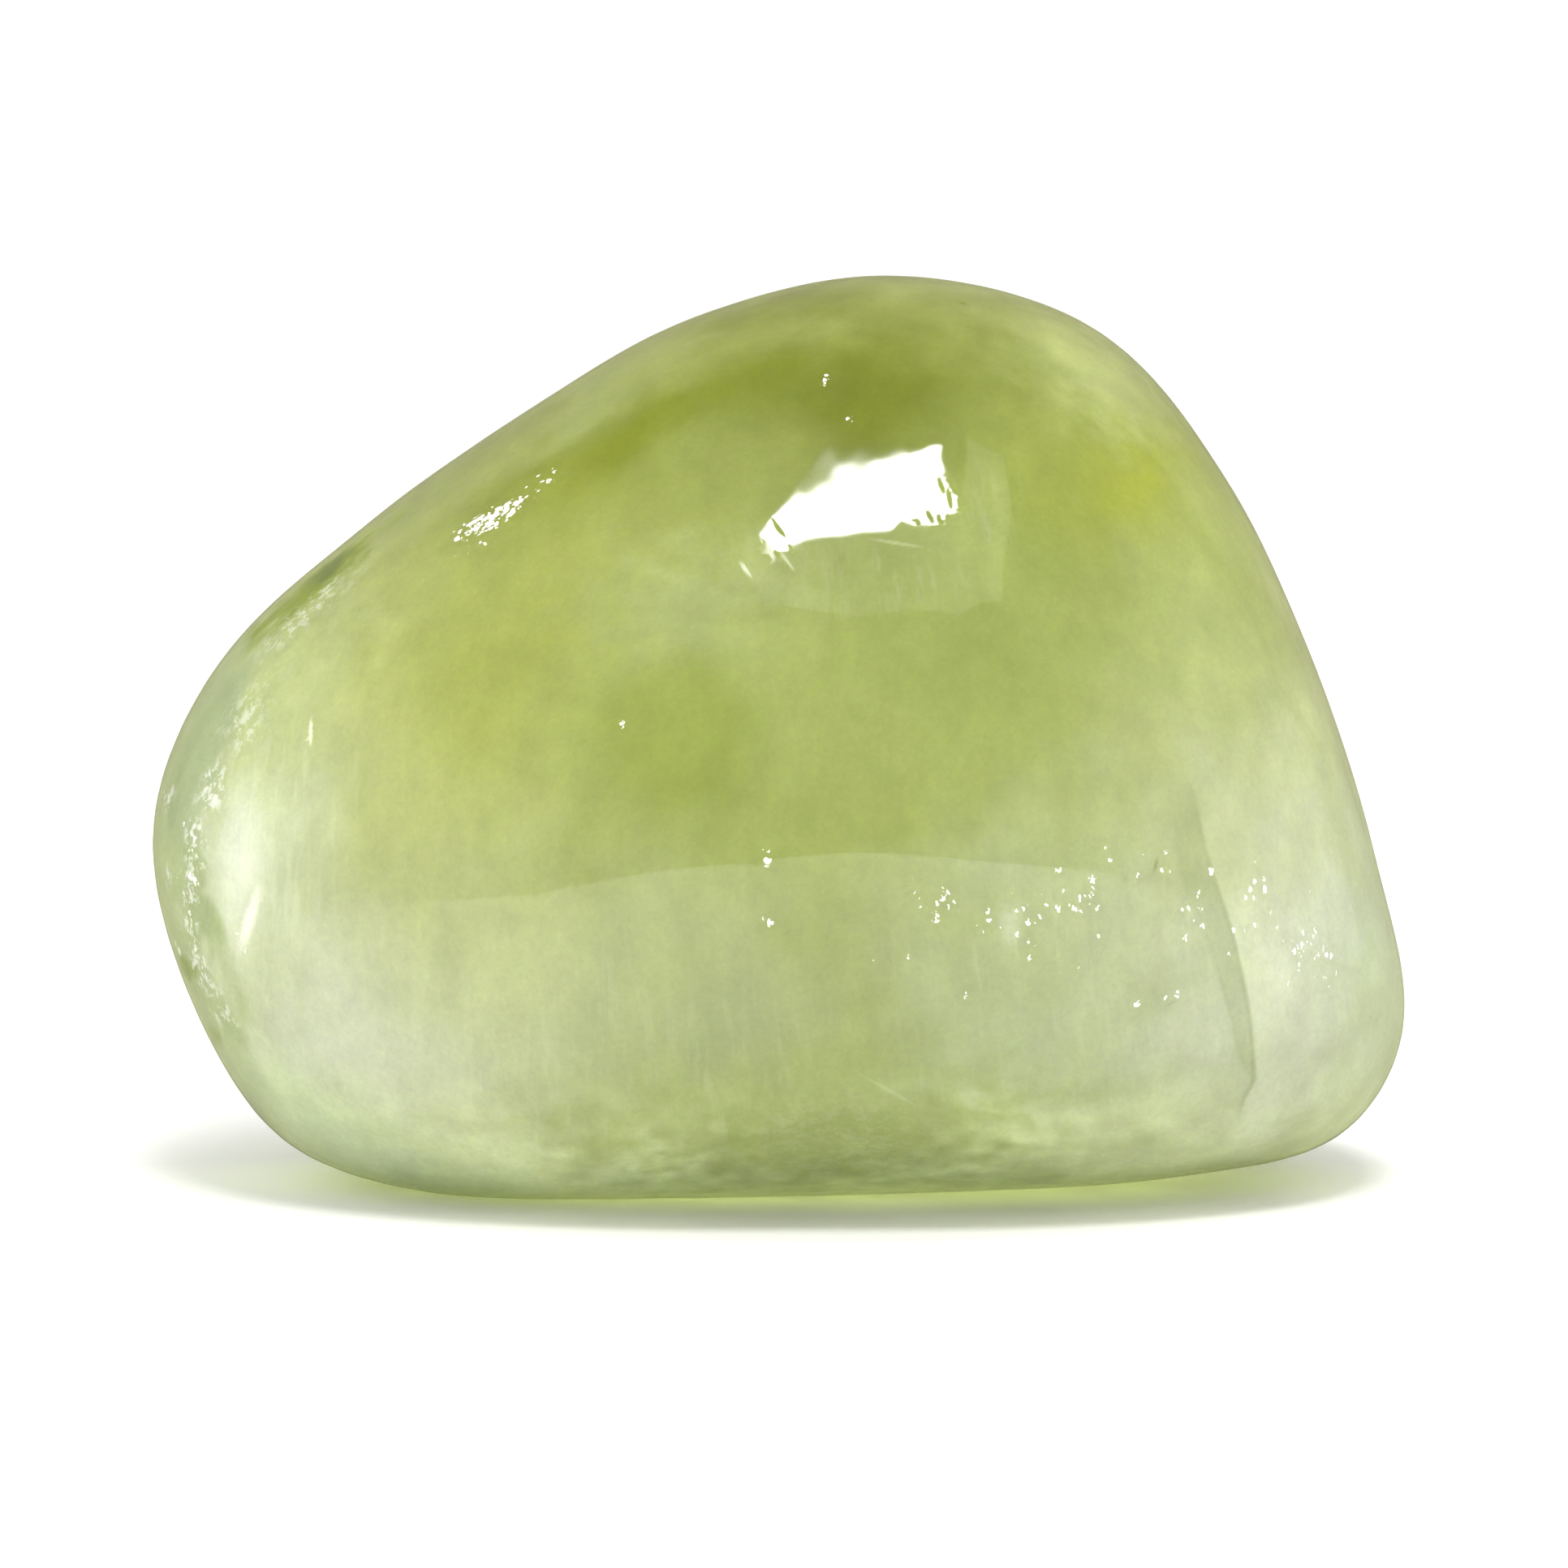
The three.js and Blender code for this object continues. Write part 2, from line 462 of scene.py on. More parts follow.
@dataclass(frozen=True)
class Depths:
    """What the eye finds inside the crystal, from the largest to the smallest.

    Some of the colours are those of the cloudy crystal itself, and some carry painted light and shade: the
    crest and its tail are painted darker, and the lower half and the underside paler, to offset how the
    light from above falls on them. Where the crystal is clear and thick, absorption deepens the colours.
    Each cloud was laid one by one. A fit of small renders to the photograph then moved the clouds' places,
    sizes and colours, and some were set again after it.
    """

    body: str = "B5BE78"
    body_clear: float = 0.5
    clouds: tuple[Cloud, ...] = (
        # The clear olive crest and its tail down the slope, painted darker partly as painted shade against
        # the light from above, with a pale band on top that is partly painted reflection
        Cloud((1.9, -1.0, 20.7), (9.0, 22.0, 3.0), -4.0, tint="D9E28C", clear=0.5),
        Cloud((1.7, -3.7, 19.0), (8.1, 22.0, 7.1), -4.0, tint="838B2B", clear=0.6),
        Cloud((-4.5, -3.5, 17.3), (7.2, 22.0, 1.9), -33.0, tint="909A20", clear=0.55),
        Cloud((-1.5, -5.9, 16.4), (4.5, 22.0, 2.4), -20.0, tint="A7AF64", clear=0.5),
        Cloud((6.4, -5.4, 17.1), (3.6, 22.0, 3.2), 20.0, tint="A7AF53", clear=0.5),
        Cloud((4.8, -7.8, 14.5), (4.4, 22.0, 5.2), tint="A8B36B", clear=0.5),
        Cloud((9.2, -2.7, 17.2), (3.3, 22.0, 2.4), 45.0, tint="B8C04C", clear=0.5),
        # Pale clouds under the shoulder and down the heel side
        Cloud((7.7, -1.9, 19.5), (3.2, 22.0, 1.7), 35.0, tint="CDD58E", clear=0.5, growth=Growth.VEIL),
        Cloud((11.2, -1.5, 15.2), (3.2, 22.0, 7.5), 25.0, tint="BDC77A", clear=0.4),
        Cloud((12.7, -3.9, 10.4), (3.5, 22.0, 8.8), 10.0, tint="E0E7AD", clear=0.4),
        Cloud((9.3, -8.2, 9.5), (5.9, 22.0, 5.6), 10.0, tint="BAC08D", clear=0.4),
        # A pale left middle, a veil above the middle and a darker heart
        Cloud((-8.5, -6.8, 11.6), (4.8, 22.0, 7.9), -20.0, tint="D1D694", clear=0.5),
        Cloud((-6.0, -6.5, 14.0), (6.1, 22.0, 4.5), -30.0, tint="B8BF6B", clear=0.5),
        Cloud(
            (-1.9, -7.6, 14.8), (4.2, 22.0, 2.3), -10.0,
            tint="B6BE83", clear=0.45, growth=Growth.VEIL,
        ),
        Cloud((-2.2, -9.1, 12.0), (3.1, 22.0, 1.9), edge=0.8, tint="AAB465", clear=0.5),
        # The milky lower half, painted paler partly as painted light for light scattered down through the
        # stone
        Cloud((-10.2, -6.6, 4.5), (12.0, 22.0, 5.4), tint="E0E3D0", clear=0.3),
        Cloud((-5.6, -8.6, 6.3), (7.8, 22.0, 4.9), tint="CAD099", clear=0.4, strength=0.8),
        Cloud((-1.6, -9.7, 5.4), (4.3, 22.0, 4.9), tint="BFC793", clear=0.5),
        Cloud((6.2, -9.1, 4.8), (5.7, 22.0, 7.8), tint="C9D2AC", clear=0.45),
        Cloud((7.6, -9.0, 7.0), (6.6, 22.0, 3.4), tint="B9C18E", clear=0.4),
        Cloud((12.1, -6.1, 4.7), (7.8, 22.0, 8.0), 8.0, tint="C9CEB4", clear=0.3),
        # The underside, painted pale as painted light for the light that the stone passes through to it
        Cloud((0.0, -4.0, -0.4), (49.5, 22.0, 4.6), tint="F1FBCA", clear=0.05),
        Cloud((0.9, -7.0, 2.4), (8.9, 22.0, 2.9), tint="BDC885", clear=0.5, growth=Growth.VEIL),
        # The nose: milk with a white heart, in a clear green rim, and thin green strips up the slope
        Cloud((-12.8, -4.6, 7.9), (3.4, 22.0, 9.6), 4.0, tint="C9D0AC", clear=0.15),
        Cloud(
            (-12.4, -3.0, 12.0), (2.4, 22.0, 5.6), 40.0,
            tint="C5CE90", clear=0.3, growth=Growth.VEIL,
        ),
        Cloud(
            (-12.7, -4.2, 8.0), (0.95, 22.0, 2.9), 5.0,
            edge=0.9, tint="E2E6D3", clear=0.1, growth=Growth.CLEAN, strength=0.85,
        ),
        Rim(
            (-16.5, -1.0, 7.0), (6.5, 22.0, 11.0), edge=0.3, tint="BAC696", clear=0.3, growth=Growth.CLEAN,
            core=Region((-7.95, -5.0, 8.2), (6.0, 30.0, 7.2), edge=0.13),
        ),
        Cloud(
            (-11.15, -0.6, 14.56), (3.09, 1.8, 0.71), -40.0,
            edge=0.6, tint="859627", clear=0.2, growth=Growth.VEIL,
        ),
        Cloud(
            (-10.75, -0.6, 14.85), (1.00, 1.5, 0.30), -40.0,
            edge=0.6, tint="607227", clear=0.2, growth=Growth.VEIL,
        ),
        Cloud(
            (-5.80, 1.3, 18.40), (1.20, 1.4, 0.30), -30.0,
            edge=0.7, tint="7A8D38", clear=0.1, strength=0.9,
        ),
        Cloud(
            (-14.08, -2.3, 5.45), (0.40, 1.5, 0.42), 10.0,
            edge=0.5, tint="8C9E56", clear=0.2, growth=Growth.VEIL,
        ),
        Cloud(
            (-13.48, -2.2, 3.79), (0.30, 1.5, 0.36), 10.0,
            edge=0.5, tint="95A562", clear=0.2, growth=Growth.VEIL,
        ),
        Cloud((-10.6, -3.6, 0.7), (7.1, 22.0, 3.6), 35.0, tint="D7E3BB", clear=0.3),
        # The heel: milk beside the healed crack, then a green rim
        Cloud((12.1, -6.0, 5.3), (1.9, 22.0, 3.9), tint="CDD1BB", clear=0.2),
        Cloud((15.8, -1.0, 5.5), (4.1, 22.0, 11.2), tint="D2DCBA", clear=0.3),
        # A curtain beside the highlight, painted pale partly as painted reflection, an arc left of the
        # heart and a spot of milk over the sparkles
        Cloud(
            (5.12, -6.4, 16.40), (0.25, 3.0, 2.20),
            tint="BFC77C", clear=0.4, growth=Growth.CLEAN, strength=0.4,
        ),
        Cloud(
            (-2.63, -6.8, 15.32), (1.59, 1.5, 0.15), 17.0,
            tint="C4CC91", clear=0.4, growth=Growth.VEIL, strength=0.6,
        ),
        Cloud(
            (5.36, -9.8, 7.50), (0.40, 1.0, 0.65),
            edge=0.8, tint="D3D8BE", clear=0.2, growth=Growth.VEIL, strength=0.7,
        ),
    )
    needles: tuple[Needle, ...] = (
        # Thin steep inclusions of the nose: a short bright one, long faint ones and a bright streak of its
        # milk. Then scratches painted near white as painted highlights where they catch the lamp, faint
        # pale lines and small dark flaws.
        Needle(
            (-10.98, -5.0, 11.45), (0.055, 2.0, 0.4),
            edge=0.5, strength=0.75, tint="FAFCE6", clear=0.1,
        ),
        Needle((-11.0, -5.9, 8.6), (0.09, 2.0, 3.0), edge=0.9, strength=0.5, tint="DCE2B0"),
        Needle((-11.2, -6.0, 5.9), (0.1, 2.0, 1.7), edge=0.9, strength=0.45, tint="E2E7C0"),
        Needle(
            (-12.45, -5.1, 7.0), (0.2, 2.0, 1.15), 17.0,
            edge=0.8, strength=0.9, tint="FBFCEF", clear=0.1,
        ),
        Needle((-10.2, -6.4, 3.2), (0.1, 2.0, 1.2), -12.0, edge=0.9, strength=0.4, tint="E6EAC8"),
        # Painted highlights: scratches painted near white where they catch the lamp
        Needle((-0.76, -6.95, 15.5), (0.06, 1.0, 0.28), -40.0, edge=0.6, strength=0.8, tint="FCFDF0"),
        Needle((-0.2, -6.9, 15.9), (0.07, 1.0, 0.3), -32.0, edge=0.6, strength=0.9, tint="FFFFF4"),
        Needle((0.2, -6.95, 15.7), (0.05, 1.0, 0.36), -42.0, edge=0.6, strength=0.7, tint="F4F7DC"),
        Needle((2.75, -6.75, 16.1), (0.8, 1.0, 0.05), 8.0, edge=0.6, strength=0.45, tint="E6ECC4"),
        Needle((2.52, -8.5, 3.5), (1.2, 1.5, 0.07), 33.0, edge=0.8, strength=0.35, tint="EAEFCF"),
        Needle((8.75, -8.6, 8.8), (0.07, 0.8, 0.24), 16.0, edge=0.8, strength=0.45, tint="6F7A38"),
        Needle((9.12, -8.7, 5.5), (0.25, 0.8, 0.06), -27.0, edge=0.8, strength=0.45, tint="83844E"),
    )
    patches: tuple[Patch, ...] = (
        Fibres((-11.8, -5.5, 8.0), (3.4, 5.0, 8.0), 4.0, strength=0.8),
        Fibres((-4.0, -8.0, 4.0), (9.0, 7.0, 5.0), strength=0.7),
        Fibres((6.0, -8.0, 5.0), (8.0, 7.0, 5.0), strength=0.5),
        Fibres((2.0, -7.4, 15.2), (3.2, 3.0, 1.2), strength=0.5),
        Fibres((5.0, -6.2, 16.6), (0.8, 2.0, 2.6), 4.0, strength=0.5),
        Fibres((5.4, -9.7, 7.0), (2.6, 2.0, 1.1), strength=1.0),
        Fibres((10.6, -7.6, 7.0), (2.8, 3.0, 1.4), strength=1.0),
        # Painted glints: clusters of small cracks painted white in a band below the middle, and single ones
        Sparkles((3.8, -10.05, 8.1), (0.95, 1.0, 0.7), strength=0.45),
        Sparkles((4.8, -9.87, 7.56), (0.3, 0.6, 0.2), growth=Growth.CLEAN, strength=0.7),
        Sparkles((5.95, -9.7, 7.7), (1.2, 1.0, 0.7), strength=0.35),
        Sparkles((7.1, -9.4, 8.1), (0.7, 1.0, 0.6), strength=0.4),
        Sparkles((9.75, -8.1, 7.4), (0.7, 1.0, 1.0), strength=0.55),
        Sparkles((11.1, -7.0, 7.6), (0.6, 1.0, 1.2), strength=0.3),
        Sparkles((12.5, -5.9, 6.4), (1.0, 1.5, 1.0), strength=0.5),
        Sparkles((8.0, -8.2, 7.6), (7.5, 5.0, 2.4), strength=0.05),
        Sparkles((-3.64, -8.65, 12.07), (0.14, 0.5, 0.14), growth=Growth.CLEAN),
        Sparkles((-0.26, -10.08, 9.1), (0.2, 0.5, 0.2), growth=Growth.CLEAN),
        Sparkles((-0.17, -10.07, 7.69), (0.18, 0.5, 0.18), growth=Growth.CLEAN),
        Sparkles((1.12, -3.26, 19.54), (0.14, 0.5, 0.2), growth=Growth.CLEAN),
        Sparkles((1.63, -4.18, 18.76), (0.14, 0.5, 0.14), growth=Growth.CLEAN),
        Sparkles((9.0, -8.41, 9.06), (0.16, 0.5, 0.16), growth=Growth.CLEAN),
        Sparkles((-12.7, -4.9, 6.4), (0.3, 1.0, 0.35), growth=Growth.CLEAN, strength=0.8),
        # The painted glint on the slope, where they crowd, with stray ones past its ends
        Sparkles((-6.8, -3.2, 16.25), (1.32, 1.0, 0.27), -29.0, 0.35, Growth.CLEAN),
        Sparkles((-5.6, -2.9, 17.15), (0.9, 1.0, 0.25), -32.0, 0.6, Growth.CLEAN, 0.3),
        Sparkles((-7.0, -3.6, 15.75), (0.8, 1.0, 0.1), -25.0, 0.6, Growth.CLEAN, 0.65),
        # Torn white veils along the edge of the nose's milk, and single ones in its clear rim
        Flecks((-14.59, -1.4, 9.5), (0.3, 1.0, 0.42)),
        Flecks((-13.4, -3.4, 9.9), (0.5, 1.5, 0.9), 30.0, strength=0.9),
        Flecks((-13.8, -3.3, 8.6), (0.4, 1.5, 0.9)),
        Flecks((-13.95, -3.2, 7.0), (0.35, 1.5, 1.3)),
        Flecks((-14.5, -2.1, 7.6), (0.2, 1.0, 0.35), strength=0.9),
        Flecks((-13.7, -3.2, 5.5), (0.4, 1.5, 0.9), -25.0),
        Flecks((-13.2, -3.7, 4.6), (0.5, 1.5, 0.9), -28.0, strength=0.8),
        Flecks((-12.6, -3.0, 11.6), (0.7, 1.5, 1.2), 30.0, strength=0.6),
        Flecks((-11.1, -1.4, 13.85), (2.1, 1.5, 0.4), -41.0, strength=0.7),
        Sparkles((-13.9, -3.0, 7.4), (0.5, 2.0, 2.6), growth=Growth.CLEAN, strength=0.2),
        Flecks((-9.5, -3.9, 0.9), (0.12, 0.8, 0.3), growth=Growth.CLEAN),
        Flecks((1.2, -6.8, 2.0), (4.0, 4.0, 1.8), growth=Growth.BILLOW, strength=0.16),
        # Scratches that cut the polish at the highlight's right, lower and left ends
        Scratch((3.8, -5.7, 17.33), (0.06, 1.0, 0.24), -20.0),
        Scratch((3.99, -5.97, 17.05), (0.06, 1.0, 0.3), -10.0),
        Scratch((4.24, -6.1, 16.9), (0.06, 1.0, 0.24), -16.0),
        Scratch((3.53, -6.4, 16.66), (0.06, 1.0, 0.2), -26.0),
        Scratch((3.75, -6.4, 16.6), (0.06, 1.0, 0.16), -20.0),
        Scratch((3.95, -6.4, 16.62), (0.06, 1.0, 0.14), -14.0),
        Scratch((3.25, -6.45, 16.55), (0.06, 1.0, 0.1), -30.0),
        Scratch((0.0, -6.3, 16.4), (0.06, 1.0, 0.34), -38.0, strength=0.8),
        Scratch((-0.27, -6.6, 16.0), (0.06, 1.0, 0.24), -36.0),
        Scratch((-0.02, -6.8, 15.8), (0.06, 1.0, 0.2), -36.0),
        Scratch((0.3, -6.7, 15.95), (0.06, 1.0, 0.16), -30.0),
    )
    crack: HealedCrack = field(default_factory=HealedCrack)
    nicks: tuple[Nick, ...] = (
        # The white chip on the nose: a short bow of small shells
        Nick((-14.45, -1.9, 5.95), 0.13, 0.03, tint="FBFCF0"),
        Nick((-14.25, -2.05, 5.82), 0.13, 0.03, tint="FBFCF0"),
        Nick((-14.02, -2.4, 5.9), 0.12, 0.03, tint="F4F6E4"),
        Nick((-13.9, -2.7, 6.08), 0.1, 0.02, tint="F4F6E4"),
        # Dark pinpoints
        Nick((-4.45, -9.4, 6.68), 0.05, 0.03),
        Nick((-4.5, -9.4, 6.5), 0.045, 0.03),
        Nick((4.4, 0.1, 21.1), 0.08, 0.04),
        Nick((8.0, -9.0, 8.55), 0.05, 0.03),
        Nick((-0.6, 1.0, 20.9), 0.06, 0.03),
    )
    seam_y_mm: float = -7.0
    seam_half_mm: Point = (0.75, 4.0, 1.0)
    pit_margin: float = 2.2
    edge_margin_mm: float = 0.15

    def fine_regions(self) -> list[Region]:
        """The regions where the mesh has to be finer than elsewhere."""
        seams = [Region((x, self.seam_y_mm, z), self.seam_half_mm) for x, z in self.crack.line_mm]
        pits = [Region(nick.centre_mm, (self.pit_margin * nick.radius_mm,) * 3) for nick in self.nicks]
        sharp = [patch for patch in self.patches if patch.growth is Growth.CLEAN]
        margin = self.edge_margin_mm
        edged = [
            Region(thin.centre_mm, tuple(half + margin for half in thin.half_mm), thin.lean_deg)
            for thin in (*self.needles, *sharp)
        ]
        return [*edged, *seams, *pits]

    def paint(self, places: np.ndarray) -> tuple[np.ndarray, np.ndarray]:
        """Works out what the surface shows.

        Args:
            places: One row of x, y and z in millimetres for each point.

        Returns:
            Linear red, green, blue and the clearness at each point, and the amount of each mark there.
        """
        stuff = Stuff.at(places)
        depth = np.tile((*linear(self.body)[:3], self.body_clear), (len(places), 1))
        for cloud in (*self.clouds, *self.needles):
            depth = self._laid(depth, cloud.cover(stuff), cloud.tint, cloud.clear)
        for stripe, cover in self.crack.stripes(places):
            depth = self._laid(depth, cover, stripe.tint, stripe.clear)
        for nick in self.nicks:
            cover = nick.strength * np.sqrt(nick.hollow(places))
            depth = self._laid(depth, cover, nick.tint, nick.clear)
        marks = np.zeros((len(places), len(Mark)))
        for patch in self.patches:
            column = patch.mark.value
            marks[:, column] = np.maximum(marks[:, column], patch.cover(stuff))
        return depth, marks

    @staticmethod
    def _laid(depth: np.ndarray, cover: np.ndarray, tint: str, clear: float) -> np.ndarray:
        """Lays a tint and a clearness over what is there."""
        share = cover[:, None]
        return depth * (1.0 - share) + np.array((*linear(tint)[:3], clear)) * share


@dataclass(frozen=True)
class Grain:
    """A noise and what it does.

    Attributes:
        waves_per_mm: How fine its largest waves are.
        detail: How many finer octaves it has.
        roughness: How strong they are.
        shown: Between which two of its values its effect changes.
        effect: What it gives at the first of them and at the second.
    """

    waves_per_mm: float
    detail: float
    roughness: float
    shown: Pair
    effect: Pair = (0.0, 1.0)


@dataclass(frozen=True)
class Apophyllite:
    """Apophyllite, grown cloudy and tumbled to a wet polish.

    The eye sees a blurred, coloured depth under one sharp, clear gloss. So the body is a rough, partly
    clear dielectric that absorbs blue, and the polish is a smooth clear coat over it. Only the coat mirrors
    at right angles, because nothing bounds the crystal under it. Scratches cut right through the coat.
    """

    ior: float = 1.535
    inner_blur: float = 0.42
    gloss_roughness: float = 0.03
    absorbed: str = "DDE597"
    absorption_per_m: float = 95.0
    scatter_mm: Point = (3.6, 4.2, 2.0)
    depth_layer: str = "crystal_depth"
    marks_layer: str = "crystal_marks"
    cut_through: Pair = (0.1, 0.4)
    # How the cloudiness's brightness varies: soft spots of a millimetre, steep wisps of one or two, and a
    # fine grain
    spots: Grain = Grain(1.1, 4.0, 0.8, (0.3, 0.7), (0.92, 1.08))
    wisps: Grain = Grain(1.0, 3.0, 0.6, (0.3, 0.7), (0.93, 1.07))
    wisp_scale: Point = (1.0, 0.6, 0.4)
    fine_grain: Grain = Grain(7.0, 3.0, 0.8, (0.3, 0.7), (0.945, 1.055))
    # Fibres: growth lines that spread downwards, a tenth of a millimetre wide and a few millimetres long
    fibre: str = "E8ECCC"
    fibre_grain: Grain = Grain(1.0, 2.0, 0.7, (0.52, 0.8), (0.0, 0.45))
    fibre_scale: Point = (340.0, 0.9, 0.42)
    fibres_meet_mm: Pair = (-8.0, 95.0)
    # Flecks: torn white veils, a tenth to a third of a millimetre across
    fleck: str = "F8FAEC"
    fleck_grain: Grain = Grain(3.4, 4.0, 0.68, (0.5, 0.57))
    # Sparkles: painted glints, white dots in the base colour for tiny cleavage cracks that mirror the
    # light, each a twentieth to a tenth of a millimetre across and a little taller than wide. The more
    # there are, the larger and denser they stand.
    dim_spark: str = "F0F3D8"
    spark: str = "FFFFFF"
    sparks_per_mm: float = 7.5
    spark_scale: Point = (1.0, 1.0, 0.66)
    spark_bends_per_mm: float = 14.0
    spark_bend_mm: float = 0.14
    spark_chance: Pair = (1.001, 0.1)
    crowded: float = 0.7
    least_spark: Pair = (0.2, 0.34)
    widest_spark: Pair = (0.52, 0.86)

    def build(self) -> bpy.types.Material:
        """Makes the material.

        Returns:
            The material, which reads the mesh's two layers.
        """
        material = bpy.data.materials.new("tumbled_apophyllite")
        material.use_nodes = True
        tree = material.node_tree
        tree.nodes.clear()
        at = add(tree, "ShaderNodeTexCoord").outputs["Object"]
        place = add(tree, "ShaderNodeVectorMath", {0: at, "Scale": 1.0 / MM}, operation="SCALE").outputs[0]
        depth = add(tree, "ShaderNodeAttribute", attribute_name=self.depth_layer)
        marks = add(tree, "ShaderNodeAttribute", attribute_name=self.marks_layer)
        amounts = add(tree, "ShaderNodeSeparateColor", {0: marks.outputs["Color"]})
        colour, clear, blurred = self._marked(tree, place, depth, amounts)
        scratched, (low, high) = marks.outputs["Alpha"], self.cut_through
        polish = add(
            tree,
            "ShaderNodeMapRange",
            {"Value": scratched, "From Min": low, "From Max": high, "To Min": 1.0, "To Max": 0.0},
        )
        shader = add(
            tree,
            "ShaderNodeBsdfPrincipled",
            {
                "Base Color": colour,
                "Transmission Weight": clear,
                "Roughness": self.inner_blur,
                "IOR": self.ior,
                "Subsurface Weight": blurred,
                "Subsurface Radius": self.scatter_mm,
                "Subsurface Scale": MM,
                "Specular Tint": (0.0, 0.0, 0.0, 1.0),
                "Coat Weight": polish.outputs[0],
                "Coat Roughness": self.gloss_roughness,
                "Coat IOR": self.ior,
            },
        )
        inside = add(
            tree,
            "ShaderNodeVolumeAbsorption",
            {"Color": linear(self.absorbed), "Density": self.absorption_per_m},
        )
        add(
            tree,
            "ShaderNodeOutputMaterial",
            {"Surface": shader.outputs["BSDF"], "Volume": inside.outputs["Volume"]},
        )
        return material

    def _marked(
        self, tree: Tree, place: Socket, depth: bpy.types.Node, amounts: bpy.types.Node
    ) -> tuple[Socket, Socket, Socket]:
        """Lays the finest marks over the painted depth.

        Args:
            tree: The material's tree.
            place: The place in millimetres.
            depth: The node that reads the painted colour and clearness.
            amounts: The node that parts the amounts of the marks.

        Returns:
            The colour, the clearness and how much of the light the crystal's cloudiness spreads.
        """
        wisp_place = add(tree, "ShaderNodeMapping", {"Vector": place, "Scale": self.wisp_scale}).outputs[0]
        spots, wisps = self._effect(tree, place, self.spots), self._effect(tree, wisp_place, self.wisps)
        level = add(tree, "ShaderNodeMath", {0: spots, 1: wisps}, operation="MULTIPLY").outputs[0]
        fine = self._effect(tree, place, self.fine_grain)
        level = add(tree, "ShaderNodeMath", {0: level, 1: fine}, operation="MULTIPLY").outputs[0]
        colour = add(
            tree, "ShaderNodeVectorMath", {0: depth.outputs["Color"], "Scale": level}, operation="SCALE"
        ).outputs["Vector"]

        fibre_place = self._spread(tree, place, self.fibres_meet_mm, self.fibre_scale)
        fibres = self._effect(tree, fibre_place, self.fibre_grain)
        flecks = self._effect(tree, place, self.fleck_grain)
        for mark, thin, tint in ((Mark.FIBRES, fibres, self.fibre), (Mark.FLECKS, flecks, self.fleck)):
            amount = amounts.outputs[mark.value]
            share = add(tree, "ShaderNodeMath", {0: thin, 1: amount}, operation="MULTIPLY").outputs[0]
            colour = add(
                tree, "ShaderNodeMix", {0: share, 6: colour, 7: linear(tint)}, data_type="RGBA"
            ).outputs[2]

        # Sparkles are painted glints: white laid over the colour
        share, lot = self._sparks(tree, place, amounts.outputs[Mark.SPARKLES.value])
        dim, full = linear(self.dim_spark), linear(self.spark)
        bright = add(tree, "ShaderNodeMix", {0: lot, 6: dim, 7: full}, data_type="RGBA").outputs[2]
        colour = add(tree, "ShaderNodeMix", {0: share, 6: colour, 7: bright}, data_type="RGBA").outputs[2]
        blurred = add(tree, "ShaderNodeMath", {0: 1.0, 1: share}, operation="SUBTRACT").outputs[0]
        clear = add(tree, "ShaderNodeMath", {0: depth.outputs["Alpha"], 1: blurred}, operation="MULTIPLY")
        return colour, clear.outputs[0], blurred

    def _sparks(self, tree: Tree, place: Socket, crowd: Socket) -> tuple[Socket, Socket]:
        """Strews sparkles, which are painted glints.

        Args:
            tree: The material's tree.
            place: The place in millimetres.
            crowd: How many there are, from 0 to 1.

        Returns:
            1 on a sparkle and 0 beside it, and how bright each sparkle is, from 0 to 1.
        """
        bend = add(
            tree, "ShaderNodeTexNoise", {"Vector": place, "Scale": self.spark_bends_per_mm, "Detail": 0.0}
        )
        bent = add(
            tree,
            "ShaderNodeVectorMath",
            {0: bend.outputs["Color"], 1: (self.spark_bend_mm,) * 3, 2: place},
            operation="MULTIPLY_ADD",
        )
        tall = add(tree, "ShaderNodeMapping", {"Vector": bent.outputs[0], "Scale": self.spark_scale})
        cells = add(
            tree,
            "ShaderNodeTexVoronoi",
            {"Vector": tall.outputs[0], "Scale": self.sparks_per_mm, "Randomness": 1.0},
        )
        lot = add(tree, "ShaderNodeSeparateColor", {0: cells.outputs["Color"]})
        chance, least, widest = (
            add(
                tree,
                "ShaderNodeMapRange",
                {"Value": crowd, "From Min": start, "To Min": low, "To Max": high},
            ).outputs[0]
            for start, (low, high) in (
                (0.0, self.spark_chance),
                (self.crowded, self.least_spark),
                (self.crowded, self.widest_spark),
            )
        )
        picked = add(tree, "ShaderNodeMath", {0: lot.outputs[0], 1: chance}, operation="GREATER_THAN")
        size = add(tree, "ShaderNodeMapRange", {"Value": lot.outputs[1], "To Min": least, "To Max": widest})
        away = cells.outputs["Distance"]
        dot = add(tree, "ShaderNodeMath", {0: away, 1: size.outputs[0]}, operation="LESS_THAN")
        share = add(tree, "ShaderNodeMath", {0: picked.outputs[0], 1: dot.outputs[0]}, operation="MULTIPLY")
        return share.outputs[0], lot.outputs[2]

    @staticmethod
    def _effect(tree: Tree, vector: Socket, grain: Grain) -> Socket:
        """Lays a noise and gives what it does, as a number's socket."""
        rough = add(
            tree,
            "ShaderNodeTexNoise",
            {
                "Vector": vector,
                "Scale": grain.waves_per_mm,
                "Detail": grain.detail,
                "Roughness": grain.roughness,
            },
        )
        (start, end), (low, high) = grain.shown, grain.effect
        return add(
            tree,
            "ShaderNodeMapRange",
            {
                "Value": rough.outputs["Fac"],
                "From Min": start,
                "From Max": end,
                "To Min": low,
                "To Max": high,
            },
        ).outputs[0]

